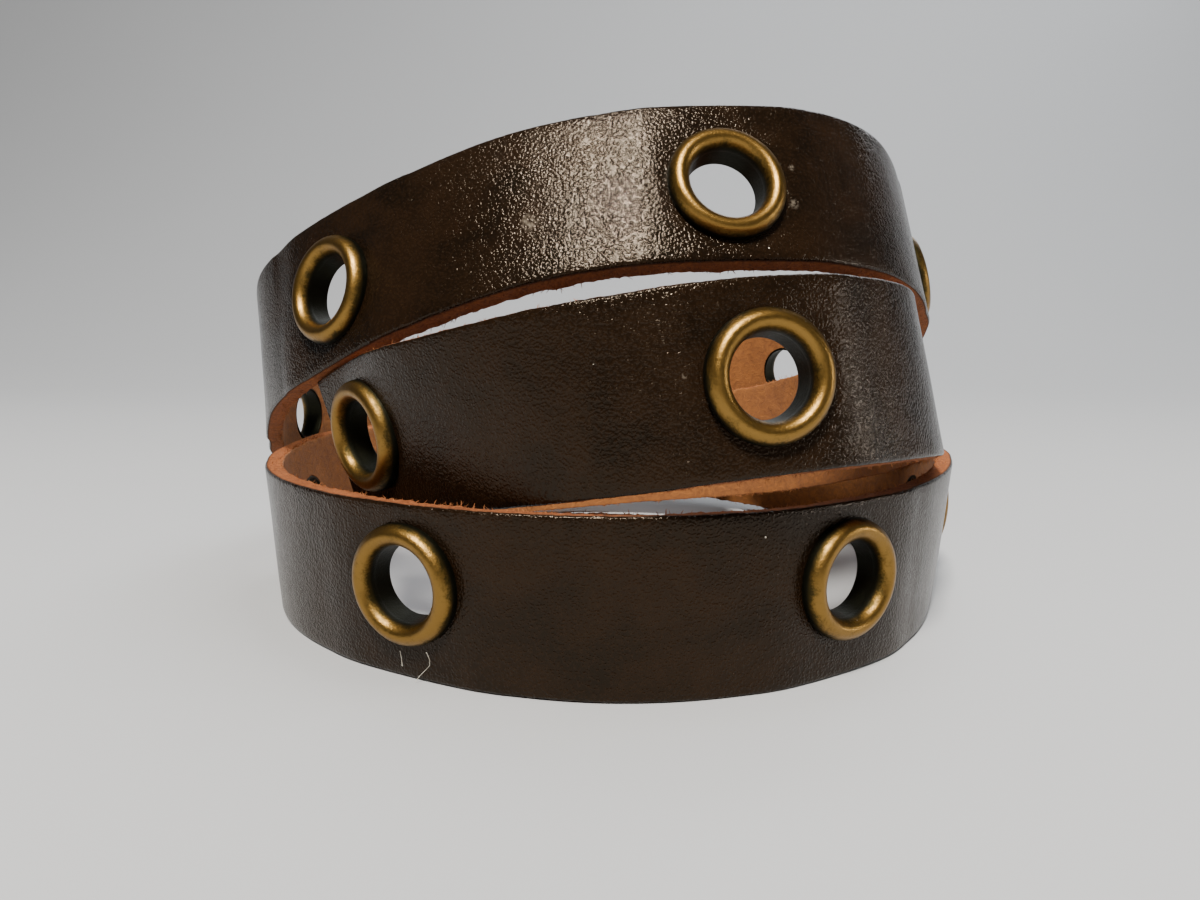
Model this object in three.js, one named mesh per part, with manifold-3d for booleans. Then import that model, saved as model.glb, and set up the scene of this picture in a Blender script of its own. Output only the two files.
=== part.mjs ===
// A wrap bracelet: one long leather strap with a row of brass eyelets, wound nearly three
// times round a wrist. It stands on the edge of its lowest turn. The inner end is free, and
// the outer end is held to the turn under it by one plain post.
import * as THREE from "three";
import { mergeVertices } from "three/addons/utils/BufferGeometryUtils.js";
import Module from "manifold-3d";

const wasm = await Module();
wasm.setup();

// Driving dimensions, in millimetres and degrees.
const STRAP = {
  width: 12.7,
  thickness: 1.5,
  endMargin: 5.0, // from the first eyelet's centre to the free end, and the same past the post
  sectionTurn: 4, // turn between two sections of the wall
};
const EYELET = {
  count: 16,
  pitch: 33.6, // along the grain face, from one centre to the next
  firstTurn: -37.0, // turn at which the first one sits
  flangeRadius: 4.4,
  crestRadius: 3.65,
  flangeRise: 1.05, // crest height over the grain face
  flangeEdge: 0.3, // height of the flange's outer edge over its seat
  mouthRadius: 2.85,
  throatRadius: 2.65,
  barrelRadius: 3.0,
  lipDepth: 0.65, // from the crest down to the mouth
  throatDepth: 0.6, // from the mouth down to the throat
  flatten: 0.3, // how far the strap is pulled from its curve to a straight line at a centre
  flatHalf: 4.5, // the pull is even this far to both sides
  blendHalf: 9.5, // and has gone here
};
// Eyelets set by hand off their even place: along the strap and up across it.
const SET_OFF = {
  1: { along: -0.3, up: 0.5 },
  2: { along: -0.1, up: 0 },
  3: { along: 0.5, up: 0 },
  6: { along: -0.8, up: 0 },
  7: { along: 0.1, up: 0.65 },
  8: { along: -0.5, up: 0.8 },
  9: { along: 0.8, up: 0 },
  12: { along: -0.7, up: -0.7 },
  13: { along: 0, up: -0.2 },
  14: { along: -0.2, up: -0.3 },
  15: { along: 1.6, up: 0 },
  16: { along: -0.3, up: -0.2 },
};
const POST = { eyelet: 11, shaftRadius: 1.6, headRadius: 3.6, headHeight: 1.1, chamfer: 0.35, play: 0.6 };
const GAP = 0.25; // clearance between two pieces
const PUNCH_LENGTH = 8;
const MERGE_DISTANCE = 1e-4;

// How finely curves are measured and cut.
const HOLE_SIDES = 28;
const RING_SIDES = 32;
const ARC_PIECES = 3; // straight pieces in each curve of a flange
const TURN_STEP = 0.5;
const TANGENT_STEP = 0.1; // to both sides, in degrees or millimetres

// The centre line of the grain face. turn: degrees round the coil, 0 in front, 90 at +X.
// radius: from the coil's axis. height: over the ground. lean: degrees that the top edge
// leans inwards.
const ROUTE = [
  { turn: -60, radius: 27.8, height: 11.2, lean: -3 },
  { turn: -50, radius: 27.8, height: 13.5, lean: -4 },
  { turn: -40, radius: 28.0, height: 15.4, lean: -6 },
  { turn: -28, radius: 29.7, height: 16.8, lean: -13 },
  { turn: -14, radius: 32.4, height: 18.4, lean: -8 },
  { turn: 0, radius: 35.3, height: 20.1, lean: 1 },
  { turn: 20, radius: 37.2, height: 21.8, lean: 10 },
  { turn: 42, radius: 35.5, height: 21.5, lean: 13 },
  { turn: 65, radius: 31.3, height: 19.4, lean: 12 },
  { turn: 90, radius: 28.6, height: 15.9, lean: 7 },
  { turn: 120, radius: 27.0, height: 11.8, lean: -2 },
  { turn: 150, radius: 27.0, height: 8.9, lean: -7 },
  { turn: 185, radius: 27.1, height: 6.9, lean: -7 },
  { turn: 225, radius: 27.6, height: 6.3, lean: -3 },
  { turn: 265, radius: 28.3, height: 6.7, lean: -4 },
  { turn: 300, radius: 31.3, height: 6.3, lean: -4 },
  { turn: 335, radius: 33.5, height: 6.3, lean: -3 },
  { turn: 365, radius: 35.6, height: 6.3, lean: 0 },
  { turn: 395, radius: 35.2, height: 6.3, lean: -1 },
  { turn: 425, radius: 33.8, height: 6.3, lean: -5 },
  { turn: 455, radius: 34.2, height: 6.3, lean: -5 },
  { turn: 485, radius: 34.6, height: 6.8, lean: -3 },
  { turn: 515, radius: 34.6, height: 7.7, lean: -3 },
  { turn: 545, radius: 34.5, height: 8.6, lean: -5 },
  { turn: 570, radius: 34.5, height: 9.7, lean: -6 },
  { turn: 595, radius: 34.6, height: 11.9, lean: -5 },
  { turn: 618, radius: 33.9, height: 16.2, lean: -1 },
  { turn: 640, radius: 31.3, height: 22.0, lean: -1 },
  { turn: 662, radius: 28.4, height: 26.1, lean: 9 },
  { turn: 685, radius: 26.0, height: 30.1, lean: 19 },
  { turn: 712, radius: 25.5, height: 33.6, lean: 25 },
  { turn: 740, radius: 26.9, height: 35.0, lean: 25 },
  { turn: 768, radius: 29.1, height: 34.6, lean: 20 },
  { turn: 795, radius: 30.2, height: 31.3, lean: 15 },
  { turn: 820, radius: 32.2, height: 26.6, lean: 12 },
  { turn: 845, radius: 36.5, height: 21.1, lean: 4 },
  { turn: 872, radius: 38.0, height: 15.4, lean: -1 },
  { turn: 900, radius: 37.9, height: 11.2, lean: -5 },
  { turn: 930, radius: 37.5, height: 9.4, lean: -6 },
];

const LEATHER = new THREE.MeshStandardMaterial({
  name: "leather",
  color: 0x3a2415,
  roughness: 0.45,
});
const BRASS = new THREE.MeshStandardMaterial({
  name: "brass",
  color: 0x9c7a35,
  roughness: 0.35,
  metalness: 1,
});

// A column of ROUTE at any turn: a smooth curve through its rows.
function routeValue(column, turn) {
  const last = ROUTE.length - 1;
  const slopeAt = (i) => {
    const before = ROUTE[Math.max(i - 1, 0)];
    const after = ROUTE[Math.min(i + 1, last)];
    return (after[column] - before[column]) / (after.turn - before.turn);
  };
  let row = ROUTE.findIndex((r) => r.turn > turn) - 1;
  if (row < 0) row = turn < ROUTE[0].turn ? 0 : last - 1;
  const span = ROUTE[row + 1].turn - ROUTE[row].turn;
  const t = (turn - ROUTE[row].turn) / span;
  const rise = 3 * t ** 2 - 2 * t ** 3;
  return (
    ROUTE[row][column] * (1 - rise) +
    ROUTE[row + 1][column] * rise +
    slopeAt(row) * span * (t ** 3 - 2 * t ** 2 + t) +
    slopeAt(row + 1) * span * (t ** 3 - t ** 2)
  );
}

// The point of the centre line at a turn, on the curve as the table gives it.
function curvePoint(turn) {
  const angle = THREE.MathUtils.degToRad(turn);
  const radius = routeValue("radius", turn);
  return new THREE.Vector3(
    radius * Math.sin(angle),
    -radius * Math.cos(angle),
    routeValue("height", turn),
  );
}

// The strap's own directions at a point: along it, up across it, and out of its grain face.
function directions(along, lean) {
  const up = new THREE.Vector3(0, 0, 1).addScaledVector(along, -along.z).normalize();
  const out = new THREE.Vector3().crossVectors(along, up);
  const angle = THREE.MathUtils.degToRad(lean);
  const across = up
    .clone()
    .multiplyScalar(Math.cos(angle))
    .addScaledVector(out, -Math.sin(angle));
  return { along, across, outward: new THREE.Vector3().crossVectors(along, across) };
}

function curveFrame(turn) {
  const after = curvePoint(turn + TANGENT_STEP);
  const along = after.sub(curvePoint(turn - TANGENT_STEP)).normalize();
  return { point: curvePoint(turn), ...directions(along, routeValue("lean", turn)) };
}

// Lengths along the centre line, in small steps of turn, to place what sits on the strap.
const LENGTHS = [{ turn: ROUTE[0].turn, length: 0 }];
for (let turn = ROUTE[0].turn + TURN_STEP; turn <= ROUTE.at(-1).turn; turn += TURN_STEP) {
  const step = curvePoint(turn).distanceTo(curvePoint(turn - TURN_STEP));
  LENGTHS.push({ turn, length: LENGTHS.at(-1).length + step });
}

function interpolate(from, to, value) {
  const i = Math.max(1, LENGTHS.findIndex((row) => row[from] >= value));
  const [low, high] = [LENGTHS[i - 1], LENGTHS[i]];
  const part = (value - low[from]) / (high[from] - low[from]);
  return low[to] + part * (high[to] - low[to]);
}
const lengthAt = (turn) => interpolate("turn", "length", turn);
const turnAt = (length) => interpolate("length", "turn", length);

// What is set into the strap: the eyelets by their pitch, and the post one turn past the
// eyelet that it goes through.
const FIRST_LENGTH = lengthAt(EYELET.firstTurn);
const EYELETS = Array.from({ length: EYELET.count }, (_, i) => {
  const { along, up } = SET_OFF[i + 1] ?? { along: 0, up: 0 };
  return flatAt(FIRST_LENGTH + i * EYELET.pitch + along, up);
});
const POST_END = flatAt(lengthAt(turnAt(EYELETS[POST.eyelet - 1].length) + 360), 0);
const FLATS = [...EYELETS, POST_END];
const STRAP_START = FIRST_LENGTH - STRAP.endMargin;
const STRAP_END = POST_END.length + STRAP.endMargin;

// The post's axis runs from its eyelet out to the strap's outer end.
const POST_AXIS = { ...EYELETS[POST.eyelet - 1] };
POST_AXIS.span = POST_END.point.clone().sub(POST_AXIS.point).dot(POST_AXIS.outward);

// A flat place on the strap: its own directions, and the centre of what is set there.
function flatAt(length, up) {
  const frame = curveFrame(turnAt(length));
  const centre = frame.point.clone().addScaledVector(frame.across, up);
  return { length, ...frame, centre };
}

// The strap as it lies: the curve, pulled a little straight next to each eyelet and the post.
function strapPoint(length) {
  const point = curvePoint(turnAt(length));
  for (const flat of FLATS) {
    const away = length - flat.length;
    const fade = THREE.MathUtils.smoothstep(Math.abs(away), EYELET.flatHalf, EYELET.blendHalf);
    const straight = flat.point.clone().addScaledVector(flat.along, away);
    if (fade < 1) point.lerp(straight, EYELET.flatten * (1 - fade));
  }
  return point;
}

function strapFrame(length) {
  const after = strapPoint(length + TANGENT_STEP);
  const along = after.sub(strapPoint(length - TANGENT_STEP)).normalize();
  const lean = routeValue("lean", turnAt(length));
  return { point: strapPoint(length), ...directions(along, lean) };
}

function toSolid(geometry) {
  const bare = geometry.clone();
  bare.deleteAttribute("normal");
  bare.deleteAttribute("uv");
  const merged = mergeVertices(bare, MERGE_DISTANCE);
  return new wasm.Manifold(
    new wasm.Mesh({
      numProp: 3,
      vertProperties: new Float32Array(merged.attributes.position.array),
      triVerts: new Uint32Array(merged.index.array),
    }),
  );
}

function toGeometry(solid) {
  const mesh = solid.getMesh();
  const geometry = new THREE.BufferGeometry();
  geometry.setAttribute("position", new THREE.BufferAttribute(mesh.vertProperties, 3));
  geometry.setIndex(new THREE.BufferAttribute(mesh.triVerts, 1));
  geometry.computeVertexNormals();
  return geometry;
}

// The leather wall: a rectangle carried along the route, closed at both ends.
function strapWall() {
  const sections = Math.ceil((turnAt(STRAP_END) - turnAt(STRAP_START)) / STRAP.sectionTurn);
  const positions = [];
  const indices = [];
  const corners = [
    [-0.5, 0],
    [0.5, 0],
    [0.5, -STRAP.thickness],
    [-0.5, -STRAP.thickness],
  ];
  for (let i = 0; i <= sections; i++) {
    const frame = strapFrame(STRAP_START + (i / sections) * (STRAP_END - STRAP_START));
    for (const [side, depth] of corners) {
      const corner = frame.point
        .clone()
        .addScaledVector(frame.across, side * STRAP.width)
        .addScaledVector(frame.outward, depth);
      positions.push(...corner.toArray());
    }
  }
  for (let i = 0; i < sections; i++) {
    for (let k = 0; k < 4; k++) {
      const [a, b] = [4 * i + k, 4 * i + ((k + 1) % 4)];
      indices.push(a, a + 4, b, b, a + 4, b + 4);
    }
  }
  const end = 4 * sections;
  indices.push(0, 1, 2, 0, 2, 3, end, end + 2, end + 1, end, end + 3, end + 2);
  const geometry = new THREE.BufferGeometry();
  geometry.setAttribute("position", new THREE.Float32BufferAttribute(positions, 3));
  geometry.setIndex(indices);
  return toSolid(geometry);
}

// Turns and moves a lathed piece: its Y axis points out of the grain face.
function seat(object, flat) {
  const axes = new THREE.Matrix4().makeBasis(
    flat.along,
    flat.outward,
    flat.across.clone().negate(),
  );
  object.quaternion.setFromRotationMatrix(axes);
  object.position.copy(flat.centre);
  return object;
}

function punch(radius, flat) {
  const cutter = new THREE.CylinderGeometry(radius, radius, PUNCH_LENGTH, HOLE_SIDES);
  const placed = seat(new THREE.Mesh(cutter), flat);
  placed.updateMatrix();
  return toSolid(cutter.applyMatrix4(placed.matrix));
}

function strapGeometry() {
  const cutters = EYELETS.map((flat) => punch(EYELET.barrelRadius + GAP, flat));
  const throughEnd = POST_AXIS.centre.clone().addScaledVector(POST_AXIS.outward, POST_AXIS.span);
  cutters.push(punch(POST.shaftRadius + GAP, { ...POST_AXIS, centre: throughEnd }));
  const cut = strapWall().subtract(wasm.Manifold.union(cutters));
  return toGeometry(cut.trimByPlane([0, 0, 1], 0));
}

// One eyelet: a domed flange on the grain face and a barrel that ends flush with the flesh.
function eyeletGeometry() {
  const seatHeight = GAP;
  const back = -STRAP.thickness;
  const crest = new THREE.Vector2(EYELET.crestRadius, EYELET.flangeRise);
  const edge = new THREE.Vector2(EYELET.flangeRadius, seatHeight + EYELET.flangeEdge);
  const mouth = new THREE.Vector2(EYELET.mouthRadius, EYELET.flangeRise - EYELET.lipDepth);
  const outside = new THREE.QuadraticBezierCurve(edge, new THREE.Vector2(edge.x, crest.y), crest);
  const inside = new THREE.QuadraticBezierCurve(crest, new THREE.Vector2(mouth.x, crest.y), mouth);
  const profile = [
    new THREE.Vector2(EYELET.barrelRadius, back),
    new THREE.Vector2(EYELET.barrelRadius, seatHeight),
    new THREE.Vector2(EYELET.flangeRadius, seatHeight),
    ...outside.getPoints(ARC_PIECES),
    ...inside.getPoints(ARC_PIECES).slice(1),
    new THREE.Vector2(EYELET.throatRadius, mouth.y - EYELET.throatDepth),
    new THREE.Vector2(EYELET.throatRadius, back),
    new THREE.Vector2(EYELET.barrelRadius, back),
  ];
  return new THREE.LatheGeometry(profile, RING_SIDES);
}

function postGeometry() {
  const inside = -STRAP.thickness - GAP;
  const { shaftRadius, headRadius, headHeight, chamfer, play } = POST;
  const outside = POST_AXIS.span + play + GAP;
  const profile = [
    [0, inside - headHeight],
    [headRadius - chamfer, inside - headHeight],
    [headRadius, inside - headHeight + chamfer],
    [headRadius, inside],
    [shaftRadius, inside],
    [shaftRadius, outside],
    [headRadius, outside],
    [headRadius, outside + headHeight - chamfer],
    [headRadius - chamfer, outside + headHeight],
    [0, outside + headHeight],
  ].map(([radius, height]) => new THREE.Vector2(radius, height));
  return new THREE.LatheGeometry(profile, RING_SIDES);
}

function named(name, geometry, material) {
  const mesh = new THREE.Mesh(geometry, material);
  mesh.name = name;
  return mesh;
}

const group = new THREE.Group();
group.add(named("strap", strapGeometry(), LEATHER));
for (let i = 0; i < EYELET.count; i++) {
  const name = `eyelet_${String(i + 1).padStart(2, "0")}`;
  group.add(seat(named(name, eyeletGeometry(), BRASS), EYELETS[i]));
}
group.add(seat(named("closing_post", postGeometry(), BRASS), POST_AXIS));

// The origin is the middle of the bounding box, on the ground.
const bounds = new THREE.Box3().setFromObject(group, true);
const middle = bounds.getCenter(new THREE.Vector3());
group.position.set(-middle.x, -middle.y, -bounds.min.z);

export default group;
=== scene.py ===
# %% [markdown]
# # A wrap bracelet of leather and brass
#
# One long leather strap is wound nearly three times round a wrist. A row of brass eyelets
# runs down its middle, and one plain post holds its outer end to the turn underneath.
#
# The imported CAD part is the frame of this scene. It says where everything is. What it can't
# say is how the bracelet looks: the rolled brass, the pebbled face of the leather, and the
# rough orange edge that the knife left. That is the work of this lesson.

# %% Load the frame
import math

import bmesh
import bpy
import numpy as np
from mathutils import Matrix, Vector, noise


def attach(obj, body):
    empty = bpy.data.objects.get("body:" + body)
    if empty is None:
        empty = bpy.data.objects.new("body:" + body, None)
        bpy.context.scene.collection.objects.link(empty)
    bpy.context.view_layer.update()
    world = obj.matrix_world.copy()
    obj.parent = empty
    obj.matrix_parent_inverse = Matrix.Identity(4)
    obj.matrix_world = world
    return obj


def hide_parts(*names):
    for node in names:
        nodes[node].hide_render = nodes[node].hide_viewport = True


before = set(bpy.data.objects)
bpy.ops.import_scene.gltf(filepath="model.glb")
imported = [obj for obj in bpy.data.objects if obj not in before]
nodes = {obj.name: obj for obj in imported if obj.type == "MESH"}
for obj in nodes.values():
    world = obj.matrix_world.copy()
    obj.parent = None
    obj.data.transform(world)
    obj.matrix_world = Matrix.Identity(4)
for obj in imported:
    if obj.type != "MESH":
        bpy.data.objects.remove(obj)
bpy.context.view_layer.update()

MM = 0.001  # Blender works in metres, and a bracelet is easier to think of in millimetres
eyelet_nodes = sorted(name for name in nodes if name.startswith("eyelet_"))
print(len(nodes), "CAD nodes,", len(eyelet_nodes), "of them eyelets")

# %% [markdown]
# ## The way the strap lies
#
# A strap in a coil has one simple fact behind it: the line down the middle of its outer
# face. Each row of this table is a place on that line. The turn counts degrees round the
# coil, from 0 in front; the radius is the distance from the coil's axis; the height is over
# the ground; and the lean is how far the top edge tips inwards.
#
# A smooth curve through the rows gives the line everywhere. It is the same rule that the CAD
# part uses, so the two agree.

# %% The route
ROUTE = np.array([
    # turn, radius, height, lean
    (-60, 27.8, 11.2, -3),
    (-50, 27.8, 13.5, -4),
    (-40, 28.0, 15.4, -6),
    (-28, 29.7, 16.8, -13),
    (-14, 32.4, 18.4, -8),
    (0, 35.3, 20.1, 1),
    (20, 37.2, 21.8, 10),
    (42, 35.5, 21.5, 13),
    (65, 31.3, 19.4, 12),
    (90, 28.6, 15.9, 7),
    (120, 27.0, 11.8, -2),
    (150, 27.0, 8.9, -7),
    (185, 27.1, 6.9, -7),
    (225, 27.6, 6.3, -3),
    (265, 28.3, 6.7, -4),
    (300, 31.3, 6.3, -4),
    (335, 33.5, 6.3, -3),
    (365, 35.6, 6.3, 0),
    (395, 35.2, 6.3, -1),
    (425, 33.8, 6.3, -5),
    (455, 34.2, 6.3, -5),
    (485, 34.6, 6.8, -3),
    (515, 34.6, 7.7, -3),
    (545, 34.5, 8.6, -5),
    (570, 34.5, 9.7, -6),
    (595, 34.6, 11.9, -5),
    (618, 33.9, 16.2, -1),
    (640, 31.3, 22.0, -1),
    (662, 28.4, 26.1, 9),
    (685, 26.0, 30.1, 19),
    (712, 25.5, 33.6, 25),
    (740, 26.9, 35.0, 25),
    (768, 29.1, 34.6, 20),
    (795, 30.2, 31.3, 15),
    (820, 32.2, 26.6, 12),
    (845, 36.5, 21.1, 4),
    (872, 38.0, 15.4, -1),
    (900, 37.9, 11.2, -5),
    (930, 37.5, 9.4, -6),
])
TURN, RADIUS, HEIGHT, LEAN = ROUTE.T
COIL_AXIS = (-0.4823, -0.4667)  # where the coil's axis stands in the frame
TURN_STEP = 0.5
TANGENT_STEP = 0.1  # to both sides, in degrees or millimetres


def slopes(column):
    """How fast a column climbs at each row, from the rows on both sides of it."""
    inner = (column[2:] - column[:-2]) / (TURN[2:] - TURN[:-2])
    first = (column[1] - column[0]) / (TURN[1] - TURN[0])
    last = (column[-1] - column[-2]) / (TURN[-1] - TURN[-2])
    return np.concatenate([[first], inner, [last]])


def route_value(column, turn):
    """A column of the route at any turns: a smooth curve through its rows."""
    row = np.clip(np.searchsorted(TURN, turn, side="right") - 1, 0, len(TURN) - 2)
    span = TURN[row + 1] - TURN[row]
    t = (turn - TURN[row]) / span
    slope = slopes(column)
    rise = 3 * t**2 - 2 * t**3
    return (
        column[row] * (1 - rise)
        + column[row + 1] * rise
        + slope[row] * span * (t**3 - 2 * t**2 + t)
        + slope[row + 1] * span * (t**3 - t**2)
    )


def curve_point(turn):
    """Points of the middle line, in millimetres in the frame."""
    angle = np.radians(turn)
    radius = route_value(RADIUS, turn)
    x = COIL_AXIS[0] + radius * np.sin(angle)
    y = COIL_AXIS[1] - radius * np.cos(angle)
    return np.stack([x, y, route_value(HEIGHT, turn)], axis=-1)


turn_steps = np.arange(TURN[0], TURN[-1] + TURN_STEP / 2, TURN_STEP)
hops = np.linalg.norm(np.diff(curve_point(turn_steps), axis=0), axis=1)
lengths = np.concatenate([[0], np.cumsum(hops)])


def turn_at(length):
    return np.interp(length, lengths, turn_steps)


def length_at(turn):
    return np.interp(turn, turn_steps, lengths)


print("the table covers", round(lengths[-1]), "mm of strap")

# %% [markdown]
# ## Where the brass sits
#
# The eyelets are already in the frame, so their places are read and not typed in. A ring's
# points spread least along its own axis, and a singular value decomposition finds that
# direction. The nearest point of the route then says how far along the strap it is.

# %% Read the eyelets' places
THICKNESS = 1.5
WIDTH = 12.7
FIRST_TURN = -37.0  # the first eyelet's turn
END_MARGIN = 5.0  # from the outermost holes to the strap's ends
SEARCH_STEP = 0.05  # how finely the route is searched for its nearest point


def unit(vectors):
    return vectors / np.linalg.norm(vectors, axis=-1, keepdims=True)


def node_points(name):
    return np.unique(np.array([v.co for v in nodes[name].data.vertices]).round(7), axis=0) / MM


def tangent_at(turn):
    return unit(curve_point(turn + TANGENT_STEP) - curve_point(turn - TANGENT_STEP))


def ring_seat(name):
    """Where a ring sits: its centre on the outer face, its axis, and its place on the strap."""
    points = node_points(name)
    middle = points.mean(axis=0)
    axis = np.linalg.svd(points - middle, full_matrices=False)[2][2]
    if axis[:2] @ (middle[:2] - COIL_AXIS) < 0:
        axis = -axis
    back = ((points - middle) @ axis).min()
    centre = middle + axis * (back + THICKNESS)
    fine = np.arange(0, lengths[-1], SEARCH_STEP)
    gaps = np.linalg.norm(curve_point(turn_at(fine)) - centre, axis=1)
    length = fine[gaps.argmin()]
    turn = turn_at(length)
    return {
        "name": name,
        "centre": centre,
        "outward": axis,
        "length": length,
        "turn": turn,
        "point": curve_point(turn),
        "along": tangent_at(turn),
    }


seats = [ring_seat(name) for name in eyelet_nodes]
CLOSED_EYELET = 11
post_seat = seats[CLOSED_EYELET - 1]
end_turn = post_seat["turn"] + 360
end_seat = {
    "length": float(length_at(end_turn)),
    "point": curve_point(end_turn),
    "along": tangent_at(end_turn),
}
strap_start = float(length_at(FIRST_TURN)) - END_MARGIN
strap_length = end_seat["length"] + END_MARGIN - strap_start
print("eyelet pitch", np.diff([s["length"] for s in seats]).round(1))
print("strap length", round(strap_length, 1), "mm")

# %% [markdown]
# ## Winding
#
# Everything that belongs to the leather is made flat on the bench first, because that is how
# a strap is really cut and punched. Flat coordinates are simple: the first is the distance
# along the strap, the second goes across it, and the third is the depth, which is 0 on the
# outer face. One function then carries flat points to where they lie in the coil.
#
# Thick leather doesn't bend under a brass ring, so near each one the line is pulled a
# little straight.

# %% From flat to wound
FLATTEN = 0.3  # how far the line is pulled straight beside a ring
FLAT_HALF, BLEND_HALF = 4.5, 9.5  # the pull is even up to the first distance and gone at the second


def smoothstep(t):
    t = np.clip(t, 0, 1)
    return t * t * (3 - 2 * t)


def strap_point(length):
    point = curve_point(turn_at(length))
    for seat in [*seats, end_seat]:
        away = length - seat["length"]
        fade = smoothstep((np.abs(away) - FLAT_HALF) / (BLEND_HALF - FLAT_HALF))
        straight = seat["point"] + away[:, None] * seat["along"]
        point += (straight - point) * (FLATTEN * (1 - fade))[:, None]
    return point


def strap_directions(length):
    """The strap's own directions: along it, up across it, and out of its outer face."""
    along = unit(strap_point(length + TANGENT_STEP) - strap_point(length - TANGENT_STEP))
    up = unit(np.array([0.0, 0.0, 1.0]) - along[:, 2:] * along)
    out = np.cross(along, up)
    lean = np.radians(route_value(LEAN, turn_at(length)))[:, None]
    across = np.cos(lean) * up - np.sin(lean) * out
    return along, across, np.cross(along, across)


def wind(flat):
    """Flat points in millimetres, carried to the coil, in metres."""
    length = strap_start + flat[:, 0]
    _, across, outward = strap_directions(length)
    wound = strap_point(length) + across * flat[:, 1:2] + outward * flat[:, 2:3]
    return wound * MM


print("the strap starts at", wind(np.zeros((1, 3)))[0].round(4))

# %% [markdown]
# ## Two helpers for the bench
#
# Blender's operators act on whatever is selected. So each step first picks its own faces,
# edges or corners, by where they are. These helpers do the picking and nothing else.

# %% Picking in edit mode
MODES = {"VERT": 0, "EDGE": 1, "FACE": 2}


def pick(piece, kind, wanted):
    """Selects the corners, edges or faces of the piece in edit mode that pass the test."""
    bpy.context.tool_settings.mesh_select_mode = [MODES[kind] == i for i in range(3)]
    bpy.ops.mesh.select_all(action="DESELECT")
    shape = bmesh.from_edit_mesh(piece.data)
    group = {"VERT": shape.verts, "EDGE": shape.edges, "FACE": shape.faces}[kind]
    for item in group:
        item.select_set(bool(wanted(item)))
    shape.select_flush_mode()
    bmesh.update_edit_mesh(piece.data)


def edit(on):
    bpy.ops.object.mode_set(mode="EDIT" if on else "OBJECT")


def start(name, add, **place):
    """Adds a primitive with nothing else selected, and gives it its name."""
    bpy.ops.object.select_all(action="DESELECT")
    add(**place)
    piece = bpy.context.object
    piece.name = piece.data.name = name
    return piece


def apply_modifier(piece, kind, **settings):
    modifier = piece.modifiers.new(kind.title(), kind)
    for key, value in settings.items():
        setattr(modifier, key, value)
    bpy.context.view_layer.objects.active = piece
    bpy.ops.object.modifier_apply(modifier=modifier.name)


def place_applied(piece):
    """Moves the object's own place into its mesh, so that the object sits at the origin."""
    bpy.ops.object.select_all(action="DESELECT")
    piece.select_set(True)
    bpy.context.view_layer.objects.active = piece
    bpy.ops.object.transform_apply(location=True, rotation=True, scale=True)


# %% [markdown]
# ## The strap, flat on the bench
#
# A strap is the same section all the way along: a flat rectangle with the knife's four
# corners slightly worn. So one thin slice is shaped with care, and an Array modifier lines
# up enough slices to make the strap. That gives even rows of faces across it, which is just
# what something that will be bent needs.

# %% One slice of strap
SLICE = 0.32
CUTS_ACROSS, CUTS_DEEP = 15, 4
slice_count = math.ceil(strap_length / SLICE)
slice_length = strap_length / slice_count

strap = start(
    "strap_leather", bpy.ops.mesh.primitive_plane_add, size=1, rotation=(0, math.pi / 2, 0)
)
place_applied(strap)
edit(True)
bpy.ops.transform.resize(value=(1, WIDTH * MM, THICKNESS * MM))
bpy.ops.transform.translate(value=(0, 0, -THICKNESS / 2 * MM))


def level(edge):
    low, high = sorted(v.co.z for v in edge.verts)
    return high - low < 1e-7


pick(strap, "EDGE", level)
bpy.ops.mesh.subdivide(number_cuts=CUTS_ACROSS)
pick(strap, "EDGE", lambda e: not level(e) and abs(e.verts[0].co.y) > (WIDTH / 2 - 0.01) * MM)
bpy.ops.mesh.subdivide(number_cuts=CUTS_DEEP)
print(len(strap.data.vertices), "corners so far")

# %% Round the corners and stretch the slice
CORNER_SIDES = 3
OUTER_WEAR, INNER_WEAR = 0.26, 0.14  # radius of the worn corners of each face


def at_corner(vertex, depth):
    return abs(vertex.co.y) > (WIDTH / 2 - 0.01) * MM and abs(vertex.co.z - depth) < 0.01 * MM


bpy.ops.mesh.select_all(action="SELECT")
bpy.ops.mesh.dissolve_faces()
for depth, radius in ((0, OUTER_WEAR), (-THICKNESS * MM, INNER_WEAR)):
    pick(strap, "VERT", lambda v: at_corner(v, depth))
    bpy.ops.mesh.bevel(affect="VERTICES", offset=radius * MM, segments=CORNER_SIDES)
pick(strap, "FACE", lambda f: True)
bpy.ops.mesh.extrude_region_move(TRANSFORM_OT_translate={"value": (slice_length * MM, 0, 0)})
pick(strap, "FACE", lambda f: abs(f.normal.x) > 0.9)
bpy.ops.mesh.delete(type="ONLY_FACE")
edit(False)
print("one slice has", len(strap.data.polygons), "faces")

# %% Line up the slices and close the ends
apply_modifier(
    strap,
    "ARRAY",
    count=slice_count,
    use_relative_offset=False,
    use_constant_offset=True,
    constant_offset_displace=(slice_length * MM, 0, 0),
    use_merge_vertices=True,
    merge_threshold=0.01 * MM,
)
edit(True)
for x in (0, strap_length * MM):
    pick(strap, "EDGE", lambda e: all(abs(v.co.x - x) < 0.05 * MM for v in e.verts))
    bpy.ops.mesh.edge_face_add()
bpy.ops.mesh.select_all(action="SELECT")
bpy.ops.mesh.normals_make_consistent(inside=False)
edit(False)
print("the flat strap has", len(strap.data.polygons), "faces")

# %% [markdown]
# ## Punching
#
# The holes are cut by a Boolean, with one round punch for each eyelet and a thin one for the
# post. The punches are joined into one tool first, so the leather is cut in one go.

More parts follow.
